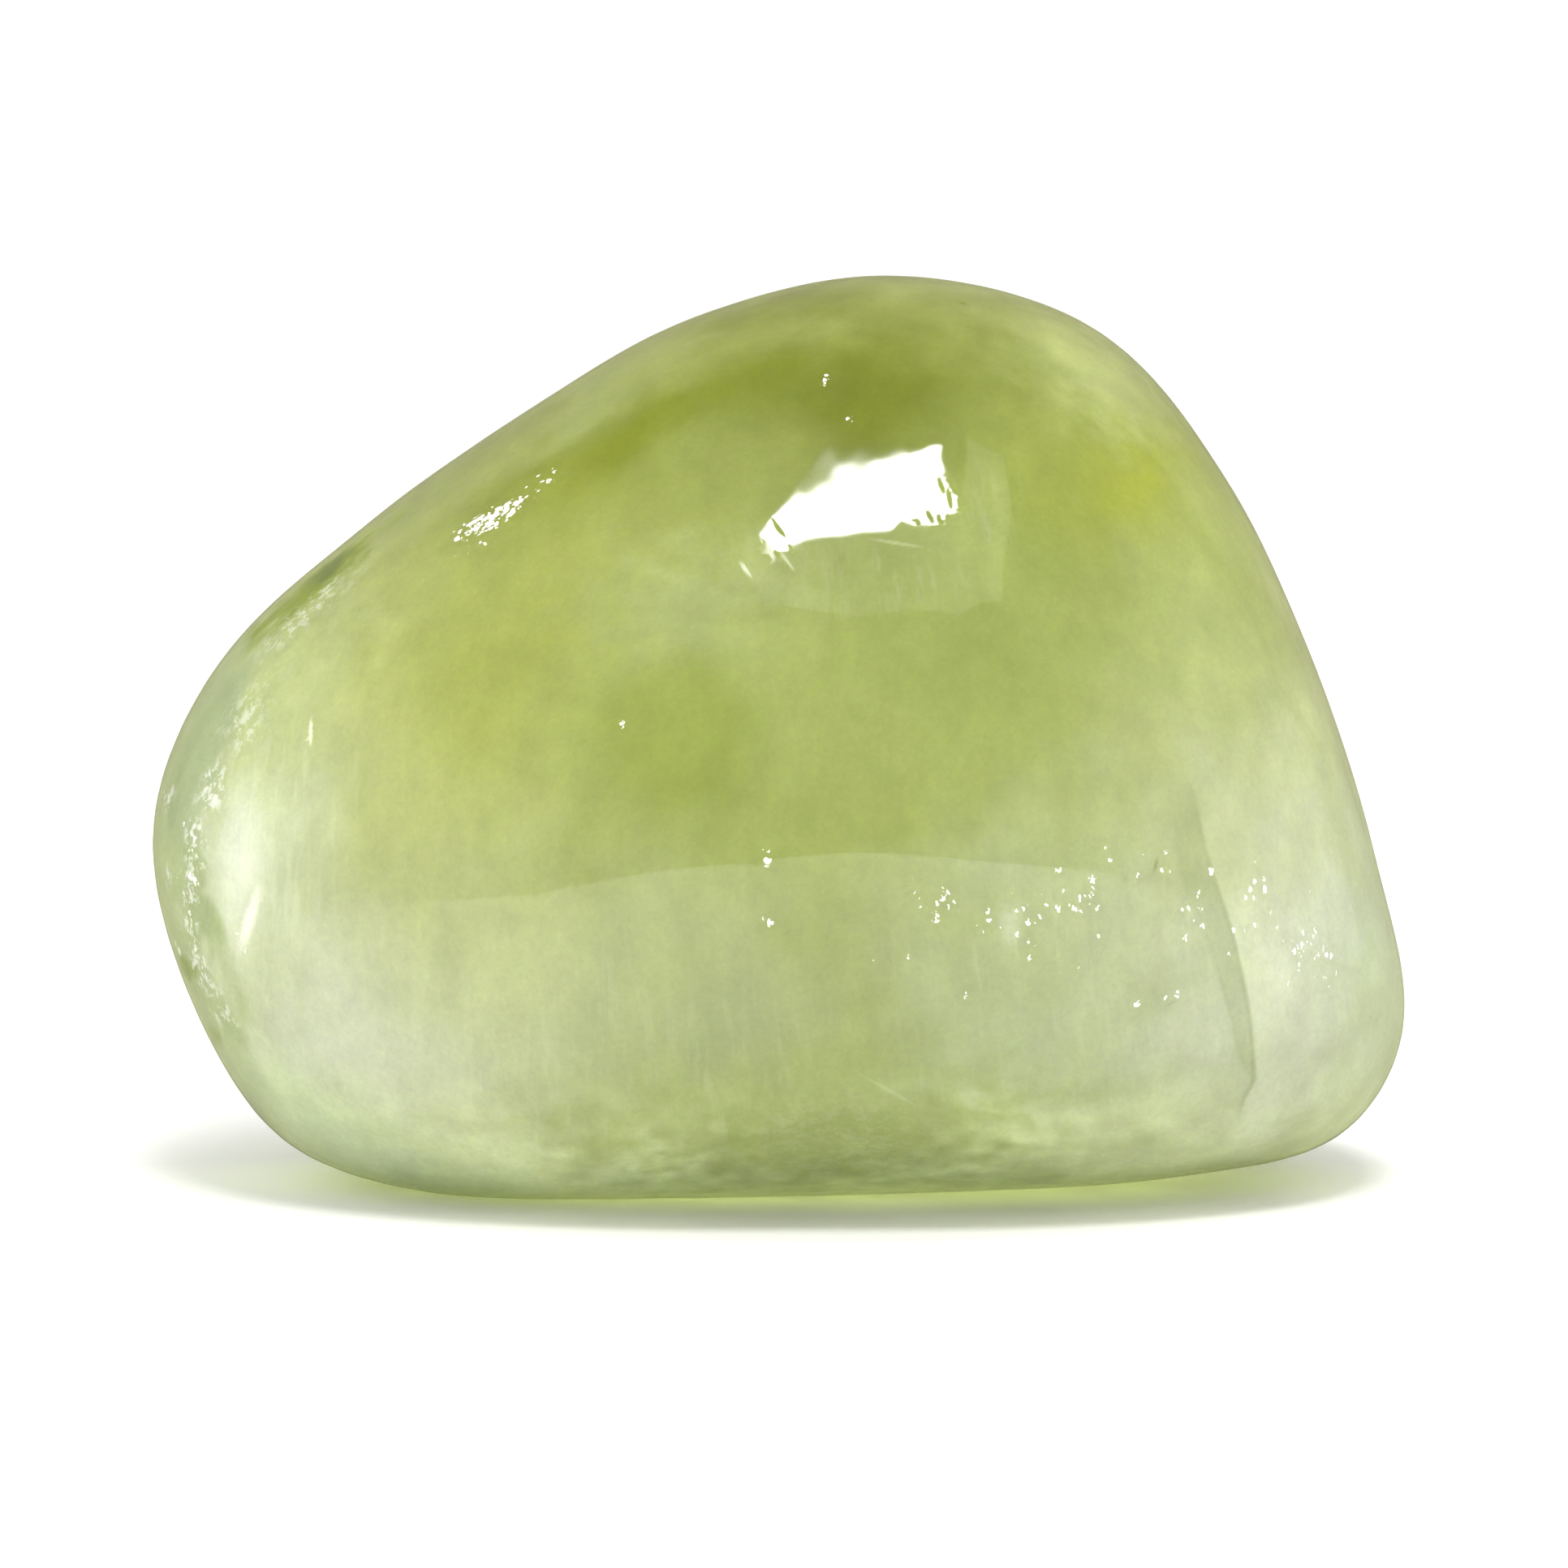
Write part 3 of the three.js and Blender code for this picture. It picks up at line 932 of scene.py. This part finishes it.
    @staticmethod
    def _spread(tree: Tree, place: Socket, meet_mm: Pair, scale: Point) -> Socket:
        """Coordinates for a texture of lines that all run to one point, as seen from the front.

        Args:
            tree: The material's tree.
            place: The place in millimetres.
            meet_mm: The X and Z of the point that the lines run to.
            scale: How fine the texture is, per unit of the lines' slope and per millimetre of Y and Z.

        Returns:
            The coordinates' socket.
        """
        part = add(tree, "ShaderNodeSeparateXYZ", {0: place})
        aside = add(tree, "ShaderNodeMath", {0: part.outputs["X"], 1: meet_mm[0]}, operation="SUBTRACT")
        above = add(tree, "ShaderNodeMath", {0: part.outputs["Z"], 1: meet_mm[1]}, operation="SUBTRACT")
        slope = add(tree, "ShaderNodeMath", {0: aside.outputs[0], 1: above.outputs[0]}, operation="DIVIDE")
        own = add(
            tree, "ShaderNodeCombineXYZ", {0: slope.outputs[0], 1: part.outputs["Y"], 2: part.outputs["Z"]}
        )
        return add(tree, "ShaderNodeMapping", {"Vector": own.outputs[0], "Scale": scale}).outputs[0]


@dataclass
class TumbledStone:
    """The stone: the solid's own shape, rounded off and given the relief that tumbling leaves."""

    node: str = "polished_stone"
    name: str = "tumbled_crystal"
    cuts: int = 3
    smooth_rounds: int = 3
    fine_rounds: int = 2
    flat_fade_mm: float = 1.5
    ripples: tuple[Ripple, ...] = (
        Ripple(wave_mm=7.0, height_mm=0.05, seed=3.1),
        Ripple(wave_mm=3.0, height_mm=0.02, seed=11.7),
    )
    depths: Depths = field(default_factory=Depths)
    finish: Apophyllite = field(default_factory=Apophyllite)

    def build(self, frame: dict) -> bpy.types.Object:
        """Makes the stone from the solid that it stands for.

        Args:
            frame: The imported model.

        Returns:
            The stone's object, at the origin.
        """
        solid = frame["nodes"][self.node]
        bm = bmesh.new()
        bm.from_mesh(solid.data)
        bmesh.ops.remove_doubles(bm, verts=bm.verts, dist=0.001 * MM)
        bmesh.ops.subdivide_edges(bm, edges=bm.edges, cuts=self.cuts, use_grid_fill=True, smooth=1.0)
        for _ in range(self.smooth_rounds):
            bmesh.ops.smooth_vert(
                bm, verts=bm.verts, factor=0.5, use_axis_x=True, use_axis_y=True, use_axis_z=True
            )
        for _ in range(self.fine_rounds):
            self._refine(bm)
        self._carve(bm)
        mesh = bpy.data.meshes.new(self.name)
        bm.to_mesh(mesh)
        bm.free()
        mesh.shade_smooth()
        self._paint(mesh)
        mesh.materials.append(self.finish.build())
        return new_object(self.name, mesh)

    def _refine(self, bm: bmesh.types.BMesh) -> None:
        """Halves the edges in the fine regions."""
        bm.verts.ensure_lookup_table()
        places = self._places(bm)
        inside = np.zeros(len(places), bool)
        for region in self.depths.fine_regions():
            inside |= region.nearness(places) > 0.0
        edges = [edge for edge in bm.edges if inside[edge.verts[0].index] and inside[edge.verts[1].index]]
        bmesh.ops.subdivide_edges(bm, edges=edges, cuts=1, smooth=1.0)
        bmesh.ops.triangulate(bm, faces=[face for face in bm.faces if len(face.verts) > 3])
        bm.verts.index_update()

    def _carve(self, bm: bmesh.types.BMesh) -> None:
        """Moves every point along its normal by the stone's relief, and keeps the resting flat flat."""
        bm.normal_update()
        places = self._places(bm)
        lift = np.array([sum(ripple.height(Vector(place)) for ripple in self.ripples) for place in places])
        lift -= self.depths.crack.ledge(places)
        for nick in self.depths.nicks:
            lift -= nick.depth_mm * nick.hollow(places)
        lift *= smooth_steps(places[:, 2], 0.0, self.flat_fade_mm) * MM
        for vert, by in zip(bm.verts, lift):
            vert.co += vert.normal * by
            vert.co.z = max(vert.co.z, 0.0)

    def _paint(self, mesh: bpy.types.Mesh) -> None:
        """Writes the depth and the marks to the mesh's layers."""
        places = np.zeros(3 * len(mesh.vertices))
        mesh.vertices.foreach_get("co", places)
        layers = self.depths.paint(places.reshape(-1, 3) / MM)
        for name, values in zip((self.finish.depth_layer, self.finish.marks_layer), layers):
            layer = mesh.attributes.new(name, "FLOAT_COLOR", "POINT")
            layer.data.foreach_set("color", values.astype(np.float32).ravel())

    @staticmethod
    def _places(bm: bmesh.types.BMesh) -> np.ndarray:
        """The points' places in millimetres."""
        return np.array([tuple(vert.co) for vert in bm.verts]) / MM


@dataclass
class Studio:
    """A white paper sweep under one overhead softbox, in a room that is dim above and in front.

    The sweep's front edge, mirrored in the front face, parts the pale lower half from the darker upper one.
    """

    floor_front_mm: float = 360.0
    wall_back_mm: float = 480.0
    bend_mm: float = 160.0
    wall_left_mm: float = 330.0
    wall_right_mm: float = 540.0
    wall_crown_mm: tuple[Pair, ...] = (
        (540.0, 540.0),
        (190.0, 540.0),
        (40.0, 1010.0),
        (-200.0, 1080.0),
        (-250.0, 780.0),
        (-330.0, 700.0),
    )
    half_width_mm: float = 700.0
    gap_mm: float = 0.03
    bend_steps: int = 24
    paper: str = "F4F4F2"
    # Painted shade: the paper's colour where the polish mirrors it
    paper_mirrored: str = "959576"
    floor_dims_mm: tuple[float, float] = (-16.0, -3.0)
    # Painted light on the floor: a green glow round the stone's foot
    passed_light: str = "C6CF8E"
    passed_light_power: float = 0.38
    passed_light_mm: Point = (16.5, 5.6, 1.0)
    passed_light_core: float = 0.5
    softbox_height_mm: float = 420.0
    softbox_corners: tuple[Pair, ...] = (
        (-0.135, -0.120),
        (-0.106, -0.129),
        (-0.080, -0.132),
        (-0.056, -0.132),
        (-0.041, -0.129),
        (0.014, -0.111),
        (0.052, -0.094),
        (0.040, -0.117),
        (0.070, -0.153),
        (0.098, -0.165),
        (0.127, -0.198),
        (0.068, -0.209),
        (0.017, -0.213),
        (-0.028, -0.187),
        (-0.041, -0.200),
        (-0.130, -0.182),
        (-0.147, -0.196),
        (-0.153, -0.204),
        (-0.179, -0.192),
        (-0.177, -0.163),
        (-0.155, -0.142),
    )
    softbox_power: float = 26.0
    softbox_rim_mm: float = 0.8
    spill_corners: tuple[Pair, ...] = (
        (-0.215, -0.217),
        (-0.194, -0.309),
        (-0.035, -0.409),
        (0.294, -0.540),
        (0.495, -0.454),
        (0.437, -0.204),
        (0.315, -0.029),
        (0.133, -0.054),
        (0.100, -0.180),
        (-0.060, -0.170),
        (-0.206, -0.154),
    )
    spill_power: float = 0.9
    spill_above_mm: float = 2.0
    key_direction: tuple[float, float] = (0.09, -0.35)
    key_width_mm: float = 140.0
    key_power_w: float = 1.85
    room_light: float = 1.37
    room_mirrored: float = 0.12
    sides_mirrored: float = 1.3
    sides_from: Pair = (0.7, 0.96)

    def build(self) -> None:
        """Makes the paper, the softbox and the room's light, none of which is part of the stone."""
        lamp = self._lit_cloth("softbox", self.softbox_corners, self.softbox_height_mm, self.softbox_power)
        above = self.softbox_height_mm + self.spill_above_mm
        spill = self._lit_cloth("softbox_spill", self.spill_corners, above, self.spill_power)
        for made in (self._floor(), self._backdrop(), lamp, spill):
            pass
        self._key()
        self._room()

    def _floor(self) -> bpy.types.Object:
        """The flat of the paper, on which the stone lies."""
        bm = bmesh.new()
        depth = self.floor_front_mm + self.wall_back_mm - self.bend_mm
        bmesh.ops.create_grid(bm, x_segments=1, y_segments=1, size=0.5)
        bmesh.ops.scale(bm, vec=(2.0 * self.half_width_mm * MM, depth * MM, 1.0), verts=bm.verts)
        middle = 0.5 * depth - self.floor_front_mm
        bmesh.ops.translate(bm, vec=(0.0, middle * MM, -self.gap_mm * MM), verts=bm.verts)
        return self._papered("paper_floor", bm, self._floor_paper())

    def _backdrop(self) -> bpy.types.Object:
        """The paper's bend and its rise into a wall behind the stone, whose top edge is cut unevenly."""
        bm = bmesh.new()
        middle = (0.0, (self.wall_back_mm - self.bend_mm) * MM, (self.bend_mm - self.gap_mm) * MM)
        ends = [
            bm.verts.new((x * MM, (self.wall_back_mm - self.bend_mm) * MM, -self.gap_mm * MM))
            for x in (-self.wall_left_mm, self.wall_right_mm)
        ]
        foot = bm.edges.new(ends)
        spun = bmesh.ops.spin(
            bm,
            geom=[foot, *ends],
            cent=middle,
            axis=(1.0, 0.0, 0.0),
            angle=math.radians(90.0),
            steps=self.bend_steps,
        )["geom_last"]
        left, right = sorted((v for v in spun if isinstance(v, bmesh.types.BMVert)), key=lambda v: v.co.x)
        crown = [bm.verts.new((x * MM, self.wall_back_mm * MM, z * MM)) for x, z in self.wall_crown_mm]
        bm.faces.new((left, right, *crown))
        return self._papered("paper_backdrop", bm, self._backdrop_paper())

    @staticmethod
    def _papered(name: str, bm: bmesh.types.BMesh, paper: bpy.types.Material) -> bpy.types.Object:
        """Turns a finished bmesh to an object of paper."""
        mesh = bpy.data.meshes.new(name)
        bm.to_mesh(mesh)
        bm.free()
        mesh.shade_smooth()
        mesh.materials.append(paper)
        return new_object(name, mesh)

    def _floor_paper(self) -> bpy.types.Material:
        """White paper, with painted light: a green glow that stands in for the light that the stone passes
        down to it.
        """
        paper = bpy.data.materials.new("white_paper_floor")
        paper.use_nodes = True
        tree = paper.node_tree
        tree.nodes.clear()
        at = add(tree, "ShaderNodeTexCoord").outputs["Object"]
        part = add(tree, "ShaderNodeSeparateXYZ", {0: at})
        front, back = (edge * MM for edge in self.floor_dims_mm)
        behind = add(
            tree,
            "ShaderNodeMapRange",
            {"Value": part.outputs["Y"], "From Min": front, "From Max": back},
            interpolation_type="SMOOTHSTEP",
        )
        own = add(
            tree,
            "ShaderNodeMapping",
            {"Vector": at, "Scale": tuple(size * MM for size in self.passed_light_mm)},
            vector_type="TEXTURE",
        )
        away = add(tree, "ShaderNodeVectorMath", {0: own.outputs[0]}, operation="LENGTH")
        power = add(
            tree,
            "ShaderNodeMapRange",
            {
                "Value": away.outputs["Value"],
                "From Min": 1.0,
                "From Max": self.passed_light_core,
                "To Max": self.passed_light_power,
            },
            interpolation_type="SMOOTHSTEP",
        )
        # Painted light: the floor glows green under the stone
        passed = add(
            tree, "ShaderNodeEmission", {"Color": linear(self.passed_light), "Strength": power.outputs[0]}
        )
        matt = add(tree, "ShaderNodeBsdfDiffuse", {"Color": self._paper_colour(tree, behind.outputs[0])})
        both = add(tree, "ShaderNodeAddShader", {0: passed.outputs[0], 1: matt.outputs[0]})
        add(tree, "ShaderNodeOutputMaterial", {"Surface": both.outputs[0]})
        return paper

    def _backdrop_paper(self) -> bpy.types.Material:
        """White paper that the polish mirrors dimly: its colour in mirrored rays is painted shade, for
        light that falls off with height.
        """
        paper = bpy.data.materials.new("white_paper_backdrop")
        paper.use_nodes = True
        tree = paper.node_tree
        tree.nodes.clear()
        matt = add(tree, "ShaderNodeBsdfDiffuse", {"Color": self._paper_colour(tree, 1.0)})
        add(tree, "ShaderNodeOutputMaterial", {"Surface": matt.outputs[0]})
        return paper

    def _paper_colour(self, tree: Tree, dimmed: Socket | float) -> Socket:
        """The paper's white, dimmer where the polish mirrors it.

        Args:
            tree: The paper's tree.
            dimmed: Where it is mirrored dimly, from 0 to 1.

        Returns:
            The colour's socket.
        """
        ray = add(tree, "ShaderNodeLightPath")
        mirrored = add(
            tree,
            "ShaderNodeMath",
            {0: ray.outputs["Is Glossy Ray"], 1: ray.outputs["Is Transmission Ray"]},
            operation="SUBTRACT",
            use_clamp=True,
        )
        share = add(tree, "ShaderNodeMath", {0: mirrored.outputs[0], 1: dimmed}, operation="MULTIPLY")
        return add(
            tree,
            "ShaderNodeMix",
            {0: share.outputs[0], 6: linear(self.paper), 7: linear(self.paper_mirrored)},
            data_type="RGBA",
        ).outputs[2]

    def _lit_cloth(
        self, name: str, corners: tuple[Pair, ...], height_mm: float, power: float
    ) -> bpy.types.Object:
        """An overhead sheet of lit cloth, whose shape is the highlight's own as the stone mirrors it.

        Args:
            name: The object's name.
            corners: X and Y of its corners as shares of its height.
            height_mm: How high it hangs.
            power: Its brightness inside its soft rim.

        Returns:
            The sheet's object, which the camera doesn't see.
        """
        bm = bmesh.new()
        glow = bm.verts.layers.float.new("glow")
        height = height_mm * MM
        sheet = bm.faces.new([bm.verts.new((x * height, y * height, height)) for x, y in corners])
        bmesh.ops.inset_region(bm, faces=[sheet], thickness=self.softbox_rim_mm * MM, use_even_offset=True)
        for vert in sheet.verts:
            vert[glow] = 1.0
        mesh = bpy.data.meshes.new(name)
        bm.to_mesh(mesh)
        bm.free()
        cloth = bpy.data.materials.new(f"{name}_cloth")
        cloth.use_nodes = True
        tree = cloth.node_tree
        tree.nodes.clear()
        level = add(tree, "ShaderNodeAttribute", attribute_name="glow")
        strength = add(tree, "ShaderNodeMath", {0: level.outputs["Fac"], 1: power}, operation="MULTIPLY")
        lit = add(tree, "ShaderNodeEmission", {"Strength": strength.outputs[0]})
        add(tree, "ShaderNodeOutputMaterial", {"Surface": lit.outputs[0]})
        mesh.materials.append(cloth)
        made = new_object(name, mesh)
        made.visible_camera = False
        return made

    def _key(self) -> None:
        """The main light, from above the front, which throws the shadow back under the stone."""
        data = bpy.data.lights.new("key_light", "AREA")
        data.size = self.key_width_mm * MM
        data.energy = self.key_power_w
        key = bpy.data.objects.new("key_light", data)
        along = Vector((*self.key_direction, 1.0))
        key.location = along * self.softbox_height_mm * MM
        key.rotation_euler = along.to_track_quat("Z", "Y").to_euler()
        key.visible_glossy = False
        bpy.context.scene.collection.objects.link(key)

    def _room(self) -> None:
        """Soft white light from all round, which the polish mirrors dimly in front and above."""
        world = bpy.data.worlds.new("room")
        bpy.context.scene.world = world
        world.use_nodes = True
        tree = world.node_tree
        tree.nodes.clear()
        ray = add(tree, "ShaderNodeLightPath")
        way = add(tree, "ShaderNodeSeparateXYZ", {0: add(tree, "ShaderNodeTexCoord").outputs["Generated"]})
        aside = add(tree, "ShaderNodeMath", {0: way.outputs["X"]}, operation="ABSOLUTE")
        front, side = self.sides_from
        mirrored = add(
            tree,
            "ShaderNodeMapRange",
            {
                "Value": aside.outputs[0],
                "From Min": front,
                "From Max": side,
                "To Min": self.room_mirrored,
                "To Max": self.sides_mirrored,
            },
            interpolation_type="SMOOTHSTEP",
        )
        level = add(
            tree,
            "ShaderNodeMix",
            {0: ray.outputs["Is Glossy Ray"], 2: self.room_light, 3: mirrored.outputs["Result"]},
            data_type="FLOAT",
        )
        light = add(tree, "ShaderNodeBackground", {"Strength": level.outputs[0]})
        add(tree, "ShaderNodeOutputWorld", {"Surface": light.outputs[0]})


@dataclass
class Viewpoint:
    """The photograph's viewpoint: a little above the stone, square to its front, through a long lens."""

    elevation_deg: float = 7.5
    distance_mm: float = 260.0
    aim_mm: Point = (0.13, 0.0, 9.55)
    view_width_mm: float = 37.56
    sensor_mm: float = 36.0

    def build(self) -> None:
        """Makes the camera and gives it to the scene."""
        data = bpy.data.cameras.new("camera")
        data.sensor_width = self.sensor_mm
        data.lens = self.distance_mm * self.sensor_mm / self.view_width_mm
        data.clip_start = 0.01
        data.clip_end = 10.0
        camera = bpy.data.objects.new("camera", data)
        tilt = math.radians(self.elevation_deg)
        back = Vector((0.0, -math.cos(tilt), math.sin(tilt)))
        camera.location = (Vector(self.aim_mm) + back * self.distance_mm) * MM
        camera.rotation_euler = (-back).to_track_quat("-Z", "Y").to_euler()
        bpy.context.scene.collection.objects.link(camera)
        bpy.context.scene.camera = camera


def main() -> None:
    """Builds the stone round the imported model, then the studio and the camera."""
    logging.basicConfig(level=logging.INFO, format="%(name)s: %(message)s")
    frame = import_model()

    scene = bpy.context.scene
    scene.view_settings.view_transform = "Standard"
    scene.view_settings.look = "None"

    stone = TumbledStone()
    piece = stone.build(frame)
    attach(piece, "root")
    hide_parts(stone.node)
    log.info("%s has %d triangles", piece.name, sum(len(p.vertices) - 2 for p in piece.data.polygons))

    Studio().build()
    Viewpoint().build()


if __name__ == "__main__":
    main()
